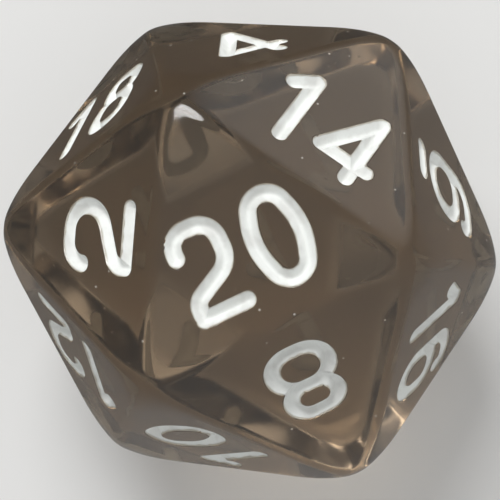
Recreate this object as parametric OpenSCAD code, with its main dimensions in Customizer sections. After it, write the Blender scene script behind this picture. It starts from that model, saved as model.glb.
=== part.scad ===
// Twenty-sided die: one moulded block with rounded edges, engraved with the
// numbers 1 to 20, and the paint that lies in each engraved groove.
// Millimetres. The die lies on its face 1 on the plane z = 0, with face 20 up.

/* [Body] */
// Distance between two opposite faces
across_faces = 20; // [18:0.5:30]
// Radius of the rounded edges
edge_round = 1.2; // [0.8:0.1:2]
// How far a worn corner lies inside the sharp one
corner_wear = 0.65; // [0.3:0.05:0.8]

/* [Numerals] */
// Height of a digit
digit_h = 4.7; // [3.8:0.1:4.9]
// Width of a digit that shares its face with another one
pair_digit_w = 2.85; // [2.3:0.05:2.9]
// Width of a digit that has a face of its own
single_digit_w = 3.4; // [2.8:0.05:3.5]
// Space between the two digits of a pair
digit_gap = 0.5; // [0.3:0.05:0.6]
// The same after a 1, which stands further off from the next digit
gap_after_one = 1.05; // [0.3:0.05:1.1]
// How far the middle of the digits lies below the middle of their face
numeral_drop = 0.2; // [0:0.05:0.4]
// Length of the bar under the 6 and the 9
underline_l = 2.2; // [1.6:0.1:3]
// Space between that bar and its digit
underline_gap = 0.3; // [0.2:0.05:0.5]
// How far an underlined digit is moved up to make room for its bar
underline_lift = 0.95; // [0.7:0.05:1.2]

/* [Grooves and paint] */
// Width of an engraved stroke
stroke_w = 0.8; // [0.6:0.02:0.9]
// Depth of the groove below the face
groove_depth = 0.5; // [0.3:0.05:0.7]
// How far the paint stays below the face
paint_recess = 0.15; // [0.05:0.01:0.2]

/* [Hidden] */
// Smoothness of round strokes, and steps across a rounded edge and from its end to the tip of the corner
ROUND_FN = 48;
EDGE_STEPS = 6;
TIP_STEPS = 4;
// The groove cutters start this far above a face
CLEAR = 1;
// Straight strokes reach this far into the bends next to them, which makes them one piece
SEAM = 0.003;
// Each side of a straight stroke lies this far inside its bends, so that no wall only grazes another
INSET = 0.001;
// Wedges that cut an arc out of a ring reach this many ring radii
WEDGE_REACH = 3;
// Largest unit of the rounding of a stroke's corners, as a share of the height of the box of centre lines
CORNER_LIMIT = 0.64;

// A regular icosahedron: its edge, and the sizes that follow from it
edge_l = across_faces * sqrt(3) / (3 + sqrt(5)) * 2;
in_radius = across_faces / 2;
ring_r = edge_l / sqrt(3);
belt_r = ring_r * (1 + sqrt(5)) / 2;
corner_r = norm([ring_r, in_radius]);
belt_z = sqrt(corner_r * corner_r - belt_r * belt_r);

// Twelve corners in four rings of three: top, upper belt, lower belt and bottom
function ring(radius, turn, z) = [
    for (i = [0:2])
        let (angle = turn + 120 * i)
            [radius * cos(angle), radius * sin(angle), z]
];
CORNERS = concat(
    ring(ring_r, 0, in_radius),
    ring(belt_r, 60, belt_z),
    ring(belt_r, 0, -belt_z),
    ring(ring_r, 60, -in_radius)
);

// The ten faces of the upper half: number, and the corners of the face.
// The first corner is the one that the top of the numeral points to.
UPPER_FACES = [
    [20, [1, 0, 2]],
    [14, [3, 1, 0]],
    [2, [4, 1, 2]],
    [8, [5, 0, 2]],
    [4, [7, 1, 3]],
    [18, [7, 1, 4]],
    [6, [6, 0, 3]],
    [16, [6, 0, 5]],
    [12, [8, 2, 4]],
    [10, [8, 2, 5]],
];
// Opposite faces add up to 21, and lie point for point across the centre
FACES = [
    for (side = [1, -1], face = UPPER_FACES)
        [side > 0 ? face[0] : 21 - face[0], [for (i = face[1]) side * CORNERS[i]]]
];

// Outer points of the block. At each corner, the rounded edges end where they reach the worn corner, and
// the points fan out from there to the tip. None of them lies further out than the worn corner.
worn_r = corner_r - corner_wear;
function unit(v) = v / norm(v);
function blend(a, b, share) = unit(a * (1 - share) + b * share);
function rounded(corner, direction) =
    corner * (in_radius - edge_round) / in_radius + edge_round * direction;
function pressed(point) = point * min(1, worn_r / norm(point));
function moved_back(point, along) = let (
    reach = point * along,
    excess = max(0, point * point - worn_r * worn_r)
) point - along * (reach - sqrt(reach * reach - excess));
function normals_at(corner) = [
    for (face = FACES)
        if (len([for (p = face[1]) if (norm(p - corner) < edge_l / 2) p]) > 0)
            unit(face[1][0] + face[1][1] + face[1][2])
];
function end_of_edge(corner, a, b) = [
    for (i = [0:EDGE_STEPS])
        moved_back(rounded(corner, blend(a, b, i / EDGE_STEPS)), unit(cross(a, b)))
];
function fan(corner, a, b) = [
    for (i = [0:EDGE_STEPS - 1], j = [1:TIP_STEPS - 1])
        pressed(rounded(corner, blend(blend(a, b, i / EDGE_STEPS), unit(corner), j / TIP_STEPS)))
];
// Faces a and b meet in an edge where their normals lie close together, and that edge points at the corner
function corner_points(corner) = [
    pressed(rounded(corner, unit(corner))),
    for (a = normals_at(corner), b = normals_at(corner))
        if (norm(a - b) < 1 && cross(a, b) * corner > 0)
            each concat(end_of_edge(corner, a, b), fan(corner, a, b))
];
BLOCK_POINTS = [for (corner = CORNERS, point = corner_points(corner)) point];

// Digits as strokes along the middle of the groove. Each point is [x, y, rounding]: x in widths and y in
// heights of the box of centre lines, from its middle, and the rounding of that corner in corner_unit().
// The rounded stretches of two neighbouring corners don't reach into each other.
HOOKED_SIX = [
    [0.42, 0.36, 0], [0.38, 0.5, 0.26], [-0.5, 0.5, 0.5], [-0.5, -0.5, 0.5],
    [0.5, -0.5, 0.5], [0.5, 0.155, 0.45], [-0.5, 0.155, 0.45], [-0.5, -0.2, 0]
];
STROKES = [
    [],
    [[[-0.22, 0.29, 0], [0.22, 0.5, 0], [0.22, -0.5, 0]]],
    [[
        [-0.5, 0.24, 0], [-0.5, 0.5, 0.4], [0.5, 0.5, 0.44], [0.5, -0.02, 0.54],
        [-0.5, -0.294, 0.3], [-0.5, -0.5, 0], [0.5, -0.5, 0]
    ]],
    [
        [[-0.46, 0.24, 0], [-0.46, 0.5, 0.38], [0.44, 0.5, 0.35], [0.44, 0.04, 0.35], [-0.12, 0.04, 0]],
        [[-0.12, 0.04, 0], [0.5, 0.04, 0.38], [0.5, -0.5, 0.42], [-0.5, -0.5, 0.4], [-0.5, -0.22, 0]]
    ],
    [[[0.296, -0.5, 0], [0.296, 0.5, 0], [-0.575, -0.264, 0], [0.575, -0.264, 0]]],
    [[
        [0.4, 0.5, 0], [-0.4, 0.5, 0], [-0.46, 0.1, 0], [0.5, 0.1, 0.44],
        [0.5, -0.5, 0.46], [-0.5, -0.5, 0.4], [-0.5, -0.22, 0]
    ]],
    [HOOKED_SIX],
    [[[-0.5, 0.5, 0], [0.5, 0.5, 0], [-0.12, -0.5, 0]]],
    [],
    [[for (p = HOOKED_SIX) [-p[0], -p[1], p[2]]]]
];
// Closed strokes: the oval of the 0 and the two rings of the 8
LOOPS = [
    [[[0, 0.982, 0.41], [0.607, 0, 1.59], [0, -0.982, 0.41], [-0.607, 0, 1.59]]],
    [], [], [], [], [], [], [],
    [
        [[-0.42, 0.5, 0.33], [0.42, 0.5, 0.33], [0.42, 0.07, 0.33], [-0.42, 0.07, 0.33]],
        [[-0.5, 0.07, 0.43], [0.5, 0.07, 0.43], [0.5, -0.5, 0.43], [-0.5, -0.5, 0.43]]
    ],
    []
];
// Space that each digit takes in a pair, as a share of the normal width
DIGIT_SPAN = [1.05, 0.44, 1, 1, 1, 1, 1, 1, 1, 1];
UNDERLINE = 10;

// The box of centre lines is one stroke smaller than the digit
line_h = digit_h - stroke_w;
pair_line_w = pair_digit_w - stroke_w;
single_line_w = single_digit_w - stroke_w;
function corner_unit(width) = min(width, CORNER_LIMIT * line_h);
function span(digit, width) = DIGIT_SPAN[digit] * width;

// Every separate groove, with its paint: [name, corners of its face, digit, line width, x, y]
function pair_marks(number, corners) = let (
    tens = floor(number / 10),
    units = number % 10,
    pitch = (tens == 1 ? gap_after_one : digit_gap) + stroke_w,
    total = span(tens, pair_line_w) + pitch + span(units, pair_line_w)
) [
    [str("ink_", number, "_tens"), corners, tens, pair_line_w,
        (span(tens, pair_line_w) - total) / 2, -numeral_drop],
    [str("ink_", number, "_units"), corners, units, pair_line_w,
        (total - span(units, pair_line_w)) / 2, -numeral_drop]
];
function underlined_marks(number, corners) = let (
    y = underline_lift - numeral_drop
) [
    [str("ink_", number), corners, number, single_line_w, 0, y],
    [str("ink_", number, "_underline"), corners, UNDERLINE, underline_l - stroke_w,
        0, y - digit_h / 2 - underline_gap - stroke_w / 2]
];
function single_marks(number, corners) = [
    [str("ink_", number), corners, number, single_line_w, 0, -numeral_drop]
];
function face_marks(number, corners) =
    number > 9 ? pair_marks(number, corners)
    : number == 6 || number == 9 ? underlined_marks(number, corners)
    : single_marks(number, corners);
MARKS = [for (face = FACES, mark = face_marks(face[0], face[1])) mark];

// Places what is drawn at z = 0 on a face, with +y towards its first corner
module on_face(corners) {
    middle = (corners[0] + corners[1] + corners[2]) / 3;
    out = middle / norm(middle);
    up = (corners[0] - middle) / norm(corners[0] - middle);
    right = cross(up, out);
    translate([0, 0, in_radius])
        multmatrix([
            [right[0], up[0], out[0], middle[0]],
            [right[1], up[1], out[1], middle[1]],
            [right[2], up[2], out[2], middle[2]],
            [0, 0, 0, 1]
        ])
            children();
}

// Straight stroke between two points
module straight(from, to) {
    run = to - from;
    translate(from)
        rotate(atan2(run[1], run[0]))
            translate([-SEAM, INSET - stroke_w / 2])
                square([norm(run) + 2 * SEAM, stroke_w - 2 * INSET]);
}

// Round stroke: the part of a ring between two points of its centre line, less than half a turn apart
module bend(centre, radius, from, to) {
    first = WEDGE_REACH * (from - centre);
    last = WEDGE_REACH * (to - centre);
    half_way = (first + last) / norm(first + last) * WEDGE_REACH * radius;
    intersection() {
        translate(centre)
            difference() {
                circle(r = radius + stroke_w / 2, $fn = ROUND_FN);
                if (radius > stroke_w / 2)
                    circle(r = radius - stroke_w / 2, $fn = ROUND_FN);
            }
        translate(centre)
            polygon([[0, 0], first, half_way, last]);
    }
}

// Corners of a stroke: the rounding starts and ends this far from the corner, around this centre
function flat(point) = [point[0], point[1]];
function aim(from, to) = (flat(to) - flat(from)) / norm(flat(to) - flat(from));
function half_angle(a, b, c) = acos(aim(b, a) * aim(b, c)) / 2;
function setback(a, b, c) = b[2] > 0 ? b[2] / tan(half_angle(a, b, c)) : 0;
function bend_centre(a, b, c) = let (inward = aim(b, a) + aim(b, c))
    flat(b) + inward / norm(inward) * b[2] / sin(half_angle(a, b, c));

// The corner b of a stroke that comes from a and goes on to c
module turn(a, b, c) {
    if (b[2] > 0)
        bend(
            bend_centre(a, b, c), b[2],
            flat(b) + aim(b, a) * setback(a, b, c),
            flat(b) + aim(b, c) * setback(a, b, c)
        );
    else
        translate(flat(b))
            circle(d = stroke_w, $fn = ROUND_FN);
}

// A stroke with round ends
module open_stroke(path) {
    last = len(path) - 1;
    for (i = [0:last - 1]) {
        start = i == 0 ? 0 : setback(path[i - 1], path[i], path[i + 1]);
        end = i + 1 == last ? 0 : setback(path[i], path[i + 1], path[i + 2]);
        straight(
            flat(path[i]) + aim(path[i], path[i + 1]) * start,
            flat(path[i + 1]) - aim(path[i], path[i + 1]) * end
        );
    }
    for (i = [1:1:last - 1])
        turn(path[i - 1], path[i], path[i + 1]);
    for (i = [0, last])
        translate(flat(path[i]))
            circle(d = stroke_w, $fn = ROUND_FN);
}

// A stroke that closes on itself
module loop_stroke(path) {
    n = len(path);
    for (i = [0:n - 1]) {
        a = path[(i + n - 1) % n];
        b = path[i];
        c = path[(i + 1) % n];
        d = path[(i + 2) % n];
        turn(a, b, c);
        straight(
            flat(b) + aim(b, c) * setback(a, b, c),
            flat(c) - aim(b, c) * setback(b, c, d)
        );
    }
}

// Outline of one groove around its own middle
function sized(path, width) = [for (p = path) [p[0] * width, p[1] * line_h, p[2] * corner_unit(width)]];
module outline(digit, width) {
    if (digit == UNDERLINE)
        open_stroke([[-width / 2, 0, 0], [width / 2, 0, 0]]);
    else {
        for (path = STROKES[digit])
            open_stroke(sized(path, width));
        for (path = LOOPS[digit])
            loop_stroke(sized(path, width));
    }
}

// A mark as a prism between two heights over its face
module mark_prism(mark, bottom, top) {
    on_face(mark[1])
        translate([mark[4], mark[5], bottom])
            linear_extrude(height = top - bottom)
                outline(mark[2], mark[3]);
}

// Icosahedron with rounded edges and worn corners
module block() {
    translate([0, 0, in_radius])
        hull()
            polyhedron(points = BLOCK_POINTS, faces = [[for (i = [0:len(BLOCK_POINTS) - 1]) i]]);
}

module die_body() {
    color([0.36, 0.32, 0.27])
        difference() {
            block();
            for (mark = MARKS)
                mark_prism(mark, -groove_depth, CLEAR);
        }
}

module ink(mark) {
    color([0.95, 0.96, 0.95])
        mark_prism(mark, -groove_depth, -paint_recess);
}

die_body();
for (mark = MARKS)
    ink(mark);
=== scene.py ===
"""A smoky translucent twenty-sided die with white paint in its engraved numerals, on a pale floor.

Lengths in the build functions are millimetres from the middle of the die. The finished meshes are
in metres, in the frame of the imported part, where the die lies on its face 1 at z = 0.
"""

import math

import bpy
import numpy as np
from mathutils import Euler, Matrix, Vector
from mathutils.geometry import delaunay_2d_cdt


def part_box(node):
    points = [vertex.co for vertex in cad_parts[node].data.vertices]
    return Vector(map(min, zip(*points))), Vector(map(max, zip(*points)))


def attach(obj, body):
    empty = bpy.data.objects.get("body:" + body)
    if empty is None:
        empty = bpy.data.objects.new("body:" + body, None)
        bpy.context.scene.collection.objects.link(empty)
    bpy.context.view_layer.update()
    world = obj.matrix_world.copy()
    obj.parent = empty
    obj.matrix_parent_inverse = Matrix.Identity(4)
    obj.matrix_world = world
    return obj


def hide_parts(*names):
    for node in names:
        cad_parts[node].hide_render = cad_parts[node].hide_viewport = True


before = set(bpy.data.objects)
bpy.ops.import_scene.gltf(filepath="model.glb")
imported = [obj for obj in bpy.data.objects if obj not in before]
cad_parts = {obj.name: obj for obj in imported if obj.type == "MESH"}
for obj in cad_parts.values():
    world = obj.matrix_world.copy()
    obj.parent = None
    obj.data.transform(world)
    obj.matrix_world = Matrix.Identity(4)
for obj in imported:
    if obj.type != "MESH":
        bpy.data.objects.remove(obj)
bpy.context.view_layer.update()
MM = 0.001
# Keeps a division by the length of an empty line from failing
TINY = 1e-12

# ---------------------------------------------------------------------------------------------
# Sizes of the block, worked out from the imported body
# ---------------------------------------------------------------------------------------------
BODY_LOW, BODY_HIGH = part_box("die_body")
IN_RADIUS = (BODY_HIGH.z - BODY_LOW.z) / MM / 2
CENTRE = Vector((0, 0, (BODY_HIGH.z + BODY_LOW.z) / 2))
GOLDEN = (1 + math.sqrt(5)) / 2
# The sharp icosahedron: its edge, and on a face the distances from the middle to the corners and sides
EDGE = IN_RADIUS * 4 * math.sqrt(3) / (3 + math.sqrt(5))
RING_R = EDGE / math.sqrt(3)
SIDE_R = EDGE / math.sqrt(12)
# Where its corners lie: their distance from the middle of the die, and the two rings round its belt
CORNER_R = math.hypot(RING_R, IN_RADIUS)
BELT_R = RING_R * GOLDEN
BELT_Z = math.sqrt(CORNER_R**2 - BELT_R**2)

# Radius of the rounded edges, and how far a worn corner lies inside the sharp one
EDGE_ROUND = 1.2
CORNER_WEAR = 0.65
# Where they lie closer than this, a worn corner and the edges round it run softly into each other
WEAR_BLEND = 0.9

# Numerals, as the CAD engraves them
DIGIT_H = 4.7
PAIR_DIGIT_W = 2.85
SINGLE_DIGIT_W = 3.4
DIGIT_GAP = 0.5
GAP_AFTER_ONE = 1.05
NUMERAL_DROP = 0.2
UNDERLINE_L = 2.2
UNDERLINE_GAP = 0.3
UNDERLINE_LIFT = 0.95
STROKE_W = 0.8

# Grooves: half the width, the depth, and how far the bottom is round, in half widths
HALF = STROKE_W / 2
GROOVE_DEPTH = 0.46
GROOVE_FLOOR = 0.3
# Paint: its height over the groove, and how deep it lies in the wall at the rim
FILM = 0.035
FILM_DIVE = 0.02
# It starts to dive at this share of the half width, give or take the raggedness
DIVE_FROM = 0.55
RAGGED = 0.06
# Waves of the ragged line, in radians for each millimetre, and how many of each there are
RAGGED_WAVES = (3.4, 6.2, 10.6, 18)
WAVE_COPIES = 3
# How deep the underside of the paint lies in the body, at the bottom of the groove and at its rim
UNDERSIDE = 0.03
UNDERSIDE_AT_RIM = 0.06


# ---------------------------------------------------------------------------------------------
# Faces
# ---------------------------------------------------------------------------------------------
def ring(radius, turn, z):
    angles = [math.radians(turn + 120 * i) for i in range(3)]
    return [np.array([radius * math.cos(a), radius * math.sin(a), z]) for a in angles]


CORNERS = ring(RING_R, 0, IN_RADIUS) + ring(BELT_R, 60, BELT_Z) + ring(BELT_R, 0, -BELT_Z)
# Number, and the corners of the face. The top of its numeral points to the first corner.
UPPER_FACES = [
    (20, (1, 0, 2)),
    (14, (3, 1, 0)),
    (2, (4, 1, 2)),
    (8, (5, 0, 2)),
    (4, (7, 1, 3)),
    (18, (7, 1, 4)),
    (6, (6, 0, 3)),
    (16, (6, 0, 5)),
    (12, (8, 2, 4)),
    (10, (8, 2, 5)),
]


class Face:
    """One face: its number, its middle, and its own directions. up is where the numeral's top points."""

    def __init__(self, number, corners):
        self.number = number
        self.middle = sum(corners) / 3
        self.out = self.middle / np.linalg.norm(self.middle)
        self.up = (corners[0] - self.middle) / np.linalg.norm(corners[0] - self.middle)
        self.right = np.cross(self.up, self.out)

    def in_space(self, flat, height):
        """Points from the face's own plane, given their height over the middle of the die."""
        return flat[:, :1] * self.right + flat[:, 1:] * self.up + height[:, None] * self.out


def all_faces():
    faces = []
    for side in (1, -1):
        for number, corners in UPPER_FACES:
            shown = number if side > 0 else 21 - number
            faces.append(Face(shown, [side * CORNERS[i] for i in corners]))
    return faces


# ---------------------------------------------------------------------------------------------
# Numerals: centre lines of the strokes
# ---------------------------------------------------------------------------------------------
# Each point is (x, y, rounding): x in widths and y in heights of the box of centre lines, from its
# middle, and the rounding of that corner in corner units.
HOOKED_SIX = [
    (0.42, 0.36, 0), (0.38, 0.5, 0.26), (-0.5, 0.5, 0.5), (-0.5, -0.5, 0.5),
    (0.5, -0.5, 0.5), (0.5, 0.155, 0.45), (-0.5, 0.155, 0.45), (-0.5, -0.2, 0),
]
STROKES = {
    0: [],
    1: [[(-0.22, 0.29, 0), (0.22, 0.5, 0), (0.22, -0.5, 0)]],
    2: [[
        (-0.5, 0.24, 0), (-0.5, 0.5, 0.4), (0.5, 0.5, 0.44), (0.5, -0.02, 0.54),
        (-0.5, -0.294, 0.3), (-0.5, -0.5, 0), (0.5, -0.5, 0),
    ]],
    3: [
        [(-0.46, 0.24, 0), (-0.46, 0.5, 0.38), (0.44, 0.5, 0.35), (0.44, 0.04, 0.35), (-0.12, 0.04, 0)],
        [(-0.12, 0.04, 0), (0.5, 0.04, 0.38), (0.5, -0.5, 0.42), (-0.5, -0.5, 0.4), (-0.5, -0.22, 0)],
    ],
    4: [[(0.296, -0.5, 0), (0.296, 0.5, 0), (-0.575, -0.264, 0), (0.575, -0.264, 0)]],
    5: [[
        (0.4, 0.5, 0), (-0.4, 0.5, 0), (-0.46, 0.1, 0), (0.5, 0.1, 0.44),
        (0.5, -0.5, 0.46), (-0.5, -0.5, 0.4), (-0.5, -0.22, 0),
    ]],
    6: [HOOKED_SIX],
    7: [[(-0.5, 0.5, 0), (0.5, 0.5, 0), (-0.12, -0.5, 0)]],
    8: [],
    9: [[(-x, -y, r) for x, y, r in HOOKED_SIX]],
}
LOOPS = {
    0: [[(0, 0.982, 0.41), (0.607, 0, 1.59), (0, -0.982, 0.41), (-0.607, 0, 1.59)]],
    8: [
        [(-0.42, 0.5, 0.33), (0.42, 0.5, 0.33), (0.42, 0.07, 0.33), (-0.42, 0.07, 0.33)],
        [(-0.5, 0.07, 0.43), (0.5, 0.07, 0.43), (0.5, -0.5, 0.43), (-0.5, -0.5, 0.43)],
    ],
}
# Space that a digit takes in a pair, as a share of the normal width, where it isn't 1
DIGIT_SPAN = {0: 1.05, 1: 0.44}
# Height of the box of centre lines, and the largest corner unit as a share of it
LINE_H = DIGIT_H - STROKE_W
CORNER_LIMIT = 0.64
# Largest turn from one point of an arc to the next
ARC_STEP = math.radians(7)


def unit(v):
    return v / np.linalg.norm(v)


def rounded_corner(before, corner, after, radius):
    """Points of the arc that rounds a corner of a stroke."""
    a, c = unit(before - corner), unit(after - corner)
    half = math.acos(float(np.clip(a @ c, -1, 1))) / 2
    centre = corner + unit(a + c) * radius / math.sin(half)
    start = corner + a * radius / math.tan(half) - centre
    end = corner + c * radius / math.tan(half) - centre
    first = math.atan2(start[1], start[0])
    sweep = (math.atan2(end[1], end[0]) - first + math.pi) % (2 * math.pi) - math.pi
    steps = max(2, math.ceil(abs(sweep) / ARC_STEP))
    turns = first + sweep * np.linspace(0, 1, steps + 1)
    return centre + radius * np.stack([np.cos(turns), np.sin(turns)], axis=1)


class Line:
    """A centre line: its points, and those of them where it ends or turns sharply."""

    def __init__(self, path, width, closed, shift):
        corner_unit = min(width, CORNER_LIMIT * LINE_H)
        points = [np.array([x * width, y * LINE_H]) for x, y, _ in path]
        out, sharp = [], []
        for i, (_, _, rounding) in enumerate(path):
            at_end = not closed and i in (0, len(path) - 1)
            if at_end or rounding == 0:
                out.append(points[i][None])
                sharp.append(points[i])
            else:
                after = points[(i + 1) % len(path)]
                out.append(rounded_corner(points[i - 1], points[i], after, rounding * corner_unit))
        if closed:
            out.append(out[0][:1])
        self.points = np.concatenate(out) + shift
        self.sharp = np.array(sharp).reshape(-1, 2) + shift


class Mark:
    """One separate groove: the CAD node of its paint, and its centre lines."""

    def __init__(self, node, lines):
        self.node = node
        self.lines = lines

    def distance(self, flat):
        """Distance from points of the face to the nearest centre line."""
        best = np.full(len(flat), np.inf)
        for line in self.lines:
            a, b = line.points[:-1], line.points[1:]
            run = b - a
            squared_length = np.maximum((run**2).sum(1), TINY)
            along = ((flat[:, None] - a) * run).sum(2) / squared_length
            nearest = a + np.clip(along, 0, 1)[..., None] * run
            gap = np.sqrt(((flat[:, None] - nearest) ** 2).sum(2)).min(1)
            best = np.minimum(best, gap)
        return best


def digit_lines(digit, width, x, y):
    shift = np.array([x, y])
    open_lines = [Line(path, width, False, shift) for path in STROKES[digit]]
    return open_lines + [Line(path, width, True, shift) for path in LOOPS.get(digit, [])]


def face_marks(number):
    """The grooves of one face."""
    if number > 9:
        tens, units = divmod(number, 10)
        width = PAIR_DIGIT_W - STROKE_W
        tens_w = DIGIT_SPAN.get(tens, 1) * width
        units_w = DIGIT_SPAN.get(units, 1) * width
        gap = GAP_AFTER_ONE if tens == 1 else DIGIT_GAP
        total = tens_w + gap + STROKE_W + units_w
        return [
            Mark(f"ink_{number}_tens", digit_lines(tens, width, (tens_w - total) / 2, -NUMERAL_DROP)),
            Mark(f"ink_{number}_units", digit_lines(units, width, (total - units_w) / 2, -NUMERAL_DROP)),
        ]
    width = SINGLE_DIGIT_W - STROKE_W
    if number not in (6, 9):
        return [Mark(f"ink_{number}", digit_lines(number, width, 0, -NUMERAL_DROP))]
    y = UNDERLINE_LIFT - NUMERAL_DROP
    bar_half = (UNDERLINE_L - STROKE_W) / 2
    bar_y = y - DIGIT_H / 2 - UNDERLINE_GAP - HALF
    bar = Line([(-bar_half, 0, 0), (bar_half, 0, 0)], 1, False, np.array([0, bar_y]))
    return [
        Mark(f"ink_{number}", digit_lines(number, width, 0, y)),
        Mark(f"ink_{number}_underline", [bar]),
    ]


# ---------------------------------------------------------------------------------------------
# Surface of the block
# ---------------------------------------------------------------------------------------------
# Directions from the middle of a face to its corners, the first one upwards
TRIANGLE = [np.array([math.cos(a), math.sin(a)]) for a in np.radians([90, 210, 330])]
# The flat triangle inside the rounded edges: its size as a share of the face, and its SIDE_R
INNER = (IN_RADIUS - EDGE_ROUND) / IN_RADIUS
FLAT_RADIUS = SIDE_R * INNER
# The search for the rounded surface starts from this share of the sharp one
LEAST_SCALE = 0.8
HALVINGS = 45
# Step to each side for working out a normal
NORMAL_STEP = 0.008


def off_triangle(flat):
    """Distance of points of a face's plane from the flat triangle inside the rounded edges."""
    corners = [RING_R * INNER * c for c in TRIANGLE]
    best = np.full(len(flat), np.inf)
    inside = np.ones(len(flat), bool)
    for a, b, c in zip(corners, corners[1:] + corners[:1], corners[2:] + corners[:2]):
        run = b - a
        along = np.clip((flat - a) @ run / (run @ run), 0, 1)
        best = np.minimum(best, np.linalg.norm(flat - a - along[:, None] * run, axis=1))
        inside &= (flat - (a + b) / 2) @ unit(c - (a + b) / 2) >= 0
    return np.where(inside, 0, best)


def rounding_scale(flat):
    """How far points of the sharp face move towards the middle of the die to lie on the rounded edges.

    It is found by halving: beyond the surface, a point is more than EDGE_ROUND from the flat triangle.
    """
    low, high = np.full(len(flat), LEAST_SCALE), np.ones(len(flat))
    for _ in range(HALVINGS):
        middle = (low + high) / 2
        lift = np.maximum(middle * IN_RADIUS - IN_RADIUS + EDGE_ROUND, 0)
        beyond = np.hypot(lift, off_triangle(flat * middle[:, None])) > EDGE_ROUND
        high = np.where(beyond, middle, high)
        low = np.where(beyond, low, middle)
    return (low + high) / 2


def block_scale(flat):
    """The same for the whole block, with its flat faces, rounded edges and worn corners."""
    scale = np.ones(len(flat))
    curved = off_triangle(flat) > 0
    scale[curved] = rounding_scale(flat[curved])
    sharp = np.sqrt((flat**2).sum(1) + IN_RADIUS**2)
    worn = CORNER_R - CORNER_WEAR
    radius = sharp * scale
    blend = np.maximum(WEAR_BLEND - np.abs(radius - worn), 0)
    return (np.minimum(radius, worn) - blend**2 / (4 * WEAR_BLEND)) / sharp


def nearest_groove(marks, flat):
    return np.min([mark.distance(flat) for mark in marks], axis=0)


def groove(distance):
    """Depth of a groove at this distance from its centre line: a V with a rounded bottom."""
    x = np.clip(distance / HALF, 0, 1)
    slope = (np.hypot(x, GROOVE_FLOOR) - GROOVE_FLOOR) / (math.hypot(1, GROOVE_FLOOR) - GROOVE_FLOOR)
    return GROOVE_DEPTH * (1 - slope)


def body_surface(face, marks, flat):
    """Points of the block with its grooves, over points of a face's plane."""
    scale = block_scale(flat)
    points = face.in_space(flat * scale[:, None], IN_RADIUS * scale)
    return points - groove(nearest_groove(marks, flat))[:, None] * face.out


def normals_of(surface, flat):
    """Normals of a surface over points of a face, from short steps to both sides."""
    sides = [flat + np.array(d) * NORMAL_STEP for d in ((1, 0), (-1, 0), (0, 1), (0, -1))]
    east, west, north, south = (surface(s) for s in sides)
    normals = np.cross(east - west, north - south)
    return normals / np.linalg.norm(normals, axis=1)[:, None]


# ---------------------------------------------------------------------------------------------
# Points that a face is triangulated from
# ---------------------------------------------------------------------------------------------
# Half the angle between the normals of neighbouring faces
HALF_BEND = math.acos(math.sqrt(5) / 3) / 2
# Steps along an edge, and across its half of the rounding
EDGE_PARTS = 48
ROUND_PARTS = 6
# Lines beside the centre line of a groove, in half widths, and how far off them a point may be
RING_DISTANCES = np.array([1.13, 1, 0.88, 0.7, 0.48, 0.24])
RING_TOLERANCE = 0.004
# Steps along those lines, and across the faces and the worn corners
POINT_STEP = 0.1
FILL_STEP = 0.42
CORNER_FILL_STEP = 0.2
# The points across a face come from a grid that is this many times as large
GRID_REACH = 1.2
# They stay this far inside the flat triangle, and this far outside the outermost line of a groove
SIDE_CLEARANCE = 0.1
GROOVE_CLEARANCE = 0.12
# Points closer than this are one, and triangles with less area than about this are left out
CLOSEST = 1e-7


def edge_rings():
    """Points on nested triangles, from the sharp edge in to where the face is flat."""
    points = []
    for turn in np.linspace(0, HALF_BEND, ROUND_PARTS + 1):
        reach = FLAT_RADIUS + EDGE_ROUND * math.sin(turn)
        height = IN_RADIUS - EDGE_ROUND + EDGE_ROUND * math.cos(turn)
        share = reach * IN_RADIUS / height / SIDE_R
        corners = [RING_R * share * c for c in TRIANGLE]
        for a, b in zip(corners, corners[1:] + corners[:1]):
            points += [a + (b - a) * i / EDGE_PARTS for i in range(EDGE_PARTS)]
    return np.array(points)


def hex_grid(step):
    """Points in rows, each row half a step on from the one before."""
    reach = int(RING_R * GRID_REACH / step)
    rows, columns = np.mgrid[-reach:reach + 1, -reach:reach + 1]
    return np.stack([(columns + rows / 2).ravel() * step, rows.ravel() * step * math.sqrt(0.75)], axis=1)


def thinned(points, step):
    """One point of each small cell."""
    _, keep = np.unique(np.round(points / step), axis=0, return_index=True)
    return points[np.sort(keep)]


def spaced(points, step):
    """Points along a line at even steps, and the direction across it."""
    lengths = np.linalg.norm(np.diff(points, axis=0), axis=1)
    place = np.concatenate([[0], np.cumsum(lengths)])
    even = np.linspace(0, place[-1], max(2, math.ceil(place[-1] / step) + 1))
    on_line = np.stack([np.interp(even, place, points[:, k]) for k in (0, 1)], axis=1)
    run = np.gradient(on_line, axis=0)
    run /= np.linalg.norm(run, axis=1)[:, None]
    return on_line, np.stack([-run[:, 1], run[:, 0]], axis=1)


def groove_points(mark):
    """Points on the centre lines of a groove, and on lines beside them at fixed distances."""
    found = []
    for distance in RING_DISTANCES * HALF:
        candidates = []
        turns = np.linspace(0, 2 * math.pi, max(8, math.ceil(2 * math.pi * distance / POINT_STEP)), False)
        circle = distance * np.stack([np.cos(turns), np.sin(turns)], axis=1)
        for line in mark.lines:
            points, across = spaced(line.points, POINT_STEP)
            candidates += [points + distance * across, points - distance * across]
            candidates += [corner + circle for corner in line.sharp]
        candidates = np.concatenate(candidates)
        on_ring = np.abs(mark.distance(candidates) - distance) < RING_TOLERANCE
        found.append(thinned(candidates[on_ring], POINT_STEP / 2))
    for line in mark.lines:
        found.append(spaced(line.points, POINT_STEP)[0])
    return np.concatenate(found)


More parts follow.
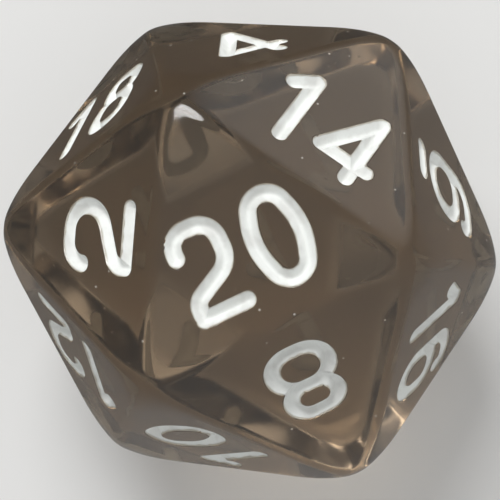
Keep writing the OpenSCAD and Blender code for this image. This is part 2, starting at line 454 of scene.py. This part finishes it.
def fill_points(marks):
    """Points over the flat part, clear of the grooves, and closer together at the worn corners."""
    wide, fine = hex_grid(FILL_STEP), hex_grid(CORNER_FILL_STEP)
    worn_from = math.sqrt((CORNER_R - CORNER_WEAR - WEAR_BLEND) ** 2 - IN_RADIUS**2) - CORNER_FILL_STEP
    distance = np.linalg.norm(wide, axis=1)
    points = np.concatenate([wide[distance < worn_from], fine[np.linalg.norm(fine, axis=1) >= worn_from]])
    inside = np.all([points @ -corner < FLAT_RADIUS - SIDE_CLEARANCE for corner in TRIANGLE], axis=0)
    points = points[inside]
    return points[nearest_groove(marks, points) > HALF * RING_DISTANCES[0] + GROOVE_CLEARANCE]


def face_triangles(points):
    """Delaunay triangles over points of a face, all turned the same way up.

    The points that the triangulation gives back are rounded, so the given ones are used instead.
    """
    _, _, triangles, origins, *_ = delaunay_2d_cdt([Vector(p) for p in points], [], [], 0, CLOSEST)
    flat = points[[origin[0] for origin in origins]]
    triangles = np.array(triangles)
    a, b, c = (flat[triangles[:, k]] for k in range(3))
    area = (b - a)[:, 0] * (c - a)[:, 1] - (b - a)[:, 1] * (c - a)[:, 0]
    triangles = np.where(area[:, None] < 0, triangles[:, ::-1], triangles)
    return flat, triangles[np.abs(area) > CLOSEST]


# ---------------------------------------------------------------------------------------------
# Meshes
# ---------------------------------------------------------------------------------------------
# Decimals of a millimetre to which two points have to agree to be joined
WELD_DECIMALS = 5


def piece(name, points, triangles, normals, material, node, slot):
    """An object of the die, from points in millimetres from the middle of the die."""
    mesh = bpy.data.meshes.new(name)
    mesh.from_pydata((points * MM + np.array(CENTRE)).tolist(), [], triangles.tolist())
    mesh.update()
    mesh.polygons.foreach_set("use_smooth", [True] * len(mesh.polygons))
    mesh.normals_split_custom_set_from_vertices(normals.tolist())
    mesh.materials.append(material)
    made = bpy.data.objects.new(name, mesh)
    bpy.context.scene.collection.objects.link(made)
    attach(made, "root")
    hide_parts(node)


def weld(points, triangles, normals):
    """Joins points that lie in the same place, and averages their normals."""
    cells = np.round(points, WELD_DECIMALS)
    _, first, same = np.unique(cells, axis=0, return_index=True, return_inverse=True)
    same = same.ravel()
    total = np.zeros((len(first), 3))
    np.add.at(total, same, normals)
    total /= np.linalg.norm(total, axis=1)[:, None]
    triangles = same[triangles]
    distinct = (triangles[:, 0] != triangles[:, 1]) & (triangles[:, 1] != triangles[:, 2])
    distinct &= triangles[:, 0] != triangles[:, 2]
    return points[first], triangles[distinct], total


def paint_lift(distance, ragged):
    """Height of the paint over the groove. Near the rim it dives into the wall, along a ragged line."""
    x = np.clip(distance / HALF, 0, 1)
    rise = np.clip((x - DIVE_FROM + ragged) / (1 - DIVE_FROM), 0, 1)
    return FILM * (1 - rise) - FILM_DIVE * rise**2


def raggedness(flat, seed):
    """Smooth random variation between about -1 and 1 over a face."""
    random = np.random.default_rng(seed)
    total = np.zeros(len(flat))
    for wave in RAGGED_WAVES:
        for _ in range(WAVE_COPIES):
            turn, phase = random.uniform(0, 2 * math.pi, 2)
            total += np.sin((flat @ [math.cos(turn), math.sin(turn)]) * wave + phase) / WAVE_COPIES
    return total / 2


def closed_film(top, count):
    """Triangles of a closed film: the top, the underside, and the walls between them along the border.

    The points of the underside come count places after those of the top.
    """
    sides = np.concatenate([top[:, [0, 1]], top[:, [1, 2]], top[:, [2, 0]]])
    _, index, uses = np.unique(np.sort(sides, axis=1), axis=0, return_index=True, return_counts=True)
    border = sides[index[uses == 1]]
    walls = np.concatenate([
        np.stack([border[:, 1], border[:, 0], border[:, 0] + count], axis=1),
        np.stack([border[:, 1], border[:, 0] + count, border[:, 1] + count], axis=1),
    ])
    return np.concatenate([top, top[:, ::-1] + count, walls])


def paint_film(face, mark, flat, triangles, material):
    """The dried paint in one groove: a closed film with a dished top, and its underside in the body."""
    inside = mark.distance(flat) <= HALF + RING_TOLERANCE
    middle = flat[triangles].mean(1)
    chosen = triangles[inside[triangles].all(1) & (mark.distance(middle) < HALF)]
    used = np.unique(chosen)
    order = np.full(len(flat), -1)
    order[used] = np.arange(len(used))
    own = flat[used]

    def top(points):
        lift = paint_lift(mark.distance(points), RAGGED * raggedness(points, face.number))
        return body_surface(face, [mark], points) + lift[:, None] * face.out

    rim = np.clip(mark.distance(own) / HALF, 0, 1)
    sunk = UNDERSIDE + (UNDERSIDE_AT_RIM - UNDERSIDE) * rim**2
    underside = body_surface(face, [mark], own) - sunk[:, None] * face.out
    points = np.concatenate([top(own), underside])
    normals = np.concatenate([normals_of(top, own), -np.repeat(face.out[None], len(own), axis=0)])
    film = closed_film(order[chosen], len(own))
    name = mark.node.replace("ink", "paint")
    piece(name, points, film, normals, material, mark.node, "numeral_paint")


def build_die(body_material, paint_material):
    """The block, made face by face and welded, and the paint in each of its grooves."""
    points, triangles, normals, start = [], [], [], 0
    rings = edge_rings()
    for face in all_faces():
        marks = face_marks(face.number)
        candidates = np.concatenate([rings, fill_points(marks)] + [groove_points(mark) for mark in marks])
        flat, own = face_triangles(candidates)

        def surface(p, face=face, marks=marks):
            return body_surface(face, marks, p)

        points.append(surface(flat))
        normals.append(normals_of(surface, flat))
        triangles.append(own + start)
        start += len(flat)
        for mark in marks:
            paint_film(face, mark, flat, own, paint_material)
    merged = weld(np.concatenate(points), np.concatenate(triangles), np.concatenate(normals))
    piece("die_block", *merged, body_material, "die_body", "body")


# ---------------------------------------------------------------------------------------------
# Materials
# ---------------------------------------------------------------------------------------------
# Resin: its surface where it is clean and where it is scuffed, with how much light goes through
RESIN = (0.96, 0.89, 0.79, 1)
SCUFFED_RESIN = (0.62, 0.6, 0.55, 1)
CLEAR_SHARE = 0.98
SCUFFED_SHARE = 0.35
RESIN_IOR = 1.5
CLEAN_ROUGHNESS = 0.06
SMUDGED_ROUGHNESS = 0.12
MARK_ROUGHNESS = 0.5
# How much a scratch shows, as a share of a speck
SCRATCH_STRENGTH = 0.12
# Relief in millimetres, and the shares of it that the soft waves and the scratches have
RESIN_RELIEF = 0.006
WAVE_SHARE = 0.6
SCRATCH_SHARE = 0.5
# Smoke in the resin: the colour that it leaves, and how strongly it takes in the rest, for each metre
SMOKE_COLOUR = (0.42, 0.3, 0.14, 1)
SMOKE_DENSITY = 73
THIN_PAINT = (0.77, 0.78, 0.755, 1)
THICK_PAINT = (0.87, 0.89, 0.865, 1)
SMOOTH_PAINT = 0.42
ROUGH_PAINT = 0.62
PAINT_RELIEF = 0.012
PALE_GREY = (0.8, 0.8, 0.79, 1)
FLOOR_ROUGHNESS = 0.9


class Graph:
    """A new material, with short ways to add its nodes. Sizes of patterns are millimetres."""

    def __init__(self, name):
        self.material = bpy.data.materials.new(name)
        self.material.use_nodes = True
        self.nodes = self.material.node_tree.nodes
        self.shader = self.nodes["Principled BSDF"]
        self.place = self.nodes.new("ShaderNodeTexCoord").outputs["Object"]

    def feed(self, socket, value):
        """Links a node's output to a socket, or sets the socket to a plain value."""
        if isinstance(value, bpy.types.NodeSocket):
            self.material.node_tree.links.new(value, socket)
        else:
            socket.default_value = value

    def set(self, **values):
        for name, value in values.items():
            self.feed(self.shader.inputs[name.replace("_", " ")], value)

    def math(self, operation, a, b):
        node = self.nodes.new("ShaderNodeMath")
        node.operation = operation
        self.feed(node.inputs[0], a)
        self.feed(node.inputs[1], b)
        return node.outputs["Value"]

    def spread(self, value, start, end, first=0, last=1):
        """A smooth rise from first to last while the value goes from start to end."""
        node = self.nodes.new("ShaderNodeMapRange")
        node.interpolation_type = "SMOOTHSTEP"
        self.feed(node.inputs["Value"], value)
        limits = {"From Min": start, "From Max": end, "To Min": first, "To Max": last}
        for name, number in limits.items():
            node.inputs[name].default_value = number
        return node.outputs["Result"]

    def mix(self, share, a, b):
        node = self.nodes.new("ShaderNodeMixRGB")
        self.feed(node.inputs["Fac"], share)
        node.inputs["Color1"].default_value = a
        node.inputs["Color2"].default_value = b
        return node.outputs["Color"]

    def noise(self, size, detail):
        node = self.nodes.new("ShaderNodeTexNoise")
        node.inputs["Scale"].default_value = 1 / (size * MM)
        node.inputs["Detail"].default_value = detail
        self.feed(node.inputs["Vector"], self.place)
        return node.outputs["Fac"]

    def spots(self, cell, radius, share, stretch=1, turn=(0, 0, 0)):
        """1 inside spots, which lie in a share of the cells of a random pattern. stretch draws them out."""
        mapping = self.nodes.new("ShaderNodeMapping")
        mapping.inputs["Rotation"].default_value = [math.radians(angle) for angle in turn]
        mapping.inputs["Scale"].default_value = (1 / stretch, 1, 1)
        self.feed(mapping.inputs["Vector"], self.place)
        cells = self.nodes.new("ShaderNodeTexVoronoi")
        cells.inputs["Scale"].default_value = 1 / (cell * MM)
        self.feed(cells.inputs["Vector"], mapping.outputs["Vector"])
        near = self.spread(cells.outputs["Distance"], radius / cell, radius / cell / 2)
        chosen = self.math("LESS_THAN", cells.outputs["Color"], share)
        return self.math("MULTIPLY", near, chosen)

    def bump(self, height, depth):
        """Relief of the given depth in millimetres, from a height between 0 and 1."""
        node = self.nodes.new("ShaderNodeBump")
        node.inputs["Distance"].default_value = depth * MM
        self.feed(node.inputs["Height"], height)
        self.set(Normal=node.outputs["Normal"])


def smoky_resin():
    """Clear brown-grey cast resin that has been handled: faint smudges, fine scratches and specks."""
    graph = Graph("smoky_resin")
    smudges = graph.noise(size=2.5, detail=3)
    specks = graph.spots(cell=0.9, radius=0.065, share=0.6)
    scratches = graph.spots(cell=0.7, radius=0.05, share=0.3, stretch=14, turn=(20, 35, 50))
    for turn in ((70, -20, 10), (-40, 15, 115)):
        finer = graph.spots(cell=0.8, radius=0.045, share=0.3, stretch=12, turn=turn)
        scratches = graph.math("MAXIMUM", scratches, finer)
    marks = graph.math("MAXIMUM", specks, graph.math("MULTIPLY", scratches, SCRATCH_STRENGTH))
    polish = graph.spread(smudges, start=0.35, end=0.65, first=CLEAN_ROUGHNESS, last=SMUDGED_ROUGHNESS)
    graph.set(
        Base_Color=graph.mix(marks, RESIN, SCUFFED_RESIN),
        Transmission_Weight=graph.spread(marks, start=0, end=1, first=CLEAR_SHARE, last=SCUFFED_SHARE),
        IOR=RESIN_IOR,
        Roughness=graph.math("ADD", polish, graph.math("MULTIPLY", marks, MARK_ROUGHNESS)),
    )
    waves = graph.math("MULTIPLY", smudges, WAVE_SHARE)
    cuts = graph.math("MULTIPLY", scratches, SCRATCH_SHARE)
    graph.bump(graph.math("SUBTRACT", waves, cuts), RESIN_RELIEF)
    smoke = graph.nodes.new("ShaderNodeVolumeAbsorption")
    smoke.inputs["Color"].default_value = SMOKE_COLOUR
    smoke.inputs["Density"].default_value = SMOKE_DENSITY
    graph.feed(graph.nodes["Material Output"].inputs["Volume"], smoke.outputs["Volume"])
    return graph.material


def white_paint():
    """Matt white paint that dried a little unevenly, and is thinner and greyer in places."""
    graph = Graph("white_paint")
    patches = graph.noise(size=1.1, detail=3)
    grain = graph.noise(size=0.14, detail=2)
    cover = graph.spread(patches, start=0.38, end=0.56)
    graph.set(
        Base_Color=graph.mix(cover, THIN_PAINT, THICK_PAINT),
        Roughness=graph.spread(grain, start=0.3, end=0.7, first=SMOOTH_PAINT, last=ROUGH_PAINT),
    )
    graph.bump(graph.math("ADD", grain, patches), PAINT_RELIEF)
    return graph.material


def pale_floor():
    graph = Graph("pale_floor")
    graph.set(Base_Color=PALE_GREY, Roughness=FLOOR_ROUGHNESS)
    return graph.material


# ---------------------------------------------------------------------------------------------
# Studio
# ---------------------------------------------------------------------------------------------
# Camera: almost straight above face 20, from about ten centimetres, leaning and turned by a few degrees.
# Its place is given in its own directions, from the middle of the die.
CAMERA_TURN = Euler([math.radians(angle) for angle in (-0.3, 3.0, 4.6)])
CAMERA_PLACE = Vector((-0.00013, -0.00015, 0.1059))
LENS = 159.8
NEAREST_SEEN = 0.01
# Floor: how far it reaches each way, and how far it lies under the die
FLOOR_REACH = 0.6
FLOOR_GAP = 0.00002
# Room: the direction of its bright side, and its brightness there and opposite
ROOM_BRIGHT_SIDE = (0.4, -0.75, 0.5)
ROOM_DIM = 0.02
ROOM_BRIGHT = 0.64
ROOM_COLOUR = (1, 1, 1, 1)
# Pale wall: its direction, the cosine of the angle that it reaches to, and its brightness in the middle
WALL_SIDE = (0.5, 0.87, 0.08)
WALL_SPREAD = 0.8
WALL_BRIGHT = 0.95
# Softbox: its place and diameter in metres, and its power in watts
KEY_PLACE = (-0.09, 0.25, 0.31)
KEY_SIZE = 0.2
KEY_POWER = 1.2


def make_camera():
    camera = bpy.data.cameras.new("camera")
    camera.lens = LENS
    camera.clip_start = NEAREST_SEEN
    made = bpy.data.objects.new("camera", camera)
    made.rotation_euler = CAMERA_TURN
    made.location = CENTRE + CAMERA_TURN.to_matrix() @ CAMERA_PLACE
    bpy.context.scene.collection.objects.link(made)
    bpy.context.scene.camera = made


def make_key():
    """A round softbox, high up beyond the side where 4 and 18 are."""
    light = bpy.data.lights.new("key", "AREA")
    light.shape = "DISK"
    light.size = KEY_SIZE
    light.energy = KEY_POWER
    made = bpy.data.objects.new("key", light)
    made.location = KEY_PLACE
    made.rotation_euler = (CENTRE - Vector(KEY_PLACE)).to_track_quat("-Z", "Y").to_euler()
    bpy.context.scene.collection.objects.link(made)


def make_floor():
    """A plain floor just under the die. The gloss of the die mirrors the room instead of the floor."""
    mesh = bpy.data.meshes.new("floor")
    corners = [(x * FLOOR_REACH, y * FLOOR_REACH, 0) for x, y in ((-1, -1), (1, -1), (1, 1), (-1, 1))]
    mesh.from_pydata(corners, [], [(0, 1, 2, 3)])
    mesh.materials.append(pale_floor())
    floor = bpy.data.objects.new("floor", mesh)
    floor.location.z = -FLOOR_GAP
    floor.visible_glossy = False
    bpy.context.scene.collection.objects.link(floor)


def make_room():
    """Soft light from all around, dimmer from one side and from below, with a pale wall on one side."""
    world = bpy.data.worlds.new("room")
    world.use_nodes = True
    nodes, links = world.node_tree.nodes, world.node_tree.links
    direction = nodes.new("ShaderNodeTexCoord").outputs["Generated"]

    def glow(side, spread, dim, bright):
        """Brightness that rises from dim, where the cosine to a side is spread, to bright towards it."""
        towards = nodes.new("ShaderNodeVectorMath")
        towards.operation = "DOT_PRODUCT"
        towards.inputs[1].default_value = Vector(side).normalized()
        links.new(direction, towards.inputs[0])
        level = nodes.new("ShaderNodeMapRange")
        level.inputs["From Min"].default_value = spread
        level.inputs["To Min"].default_value = dim
        level.inputs["To Max"].default_value = bright
        links.new(towards.outputs["Value"], level.inputs["Value"])
        return level.outputs["Result"]

    total = nodes.new("ShaderNodeMath")
    links.new(glow(ROOM_BRIGHT_SIDE, -1, ROOM_DIM, ROOM_BRIGHT), total.inputs[0])
    links.new(glow(WALL_SIDE, WALL_SPREAD, 0, WALL_BRIGHT), total.inputs[1])
    nodes["Background"].inputs["Color"].default_value = ROOM_COLOUR
    links.new(total.outputs["Value"], nodes["Background"].inputs["Strength"])
    bpy.context.scene.world = world


build_die(smoky_resin(), white_paint())
make_floor()
make_room()
make_key()
make_camera()
bpy.context.scene.view_settings.view_transform = "Standard"
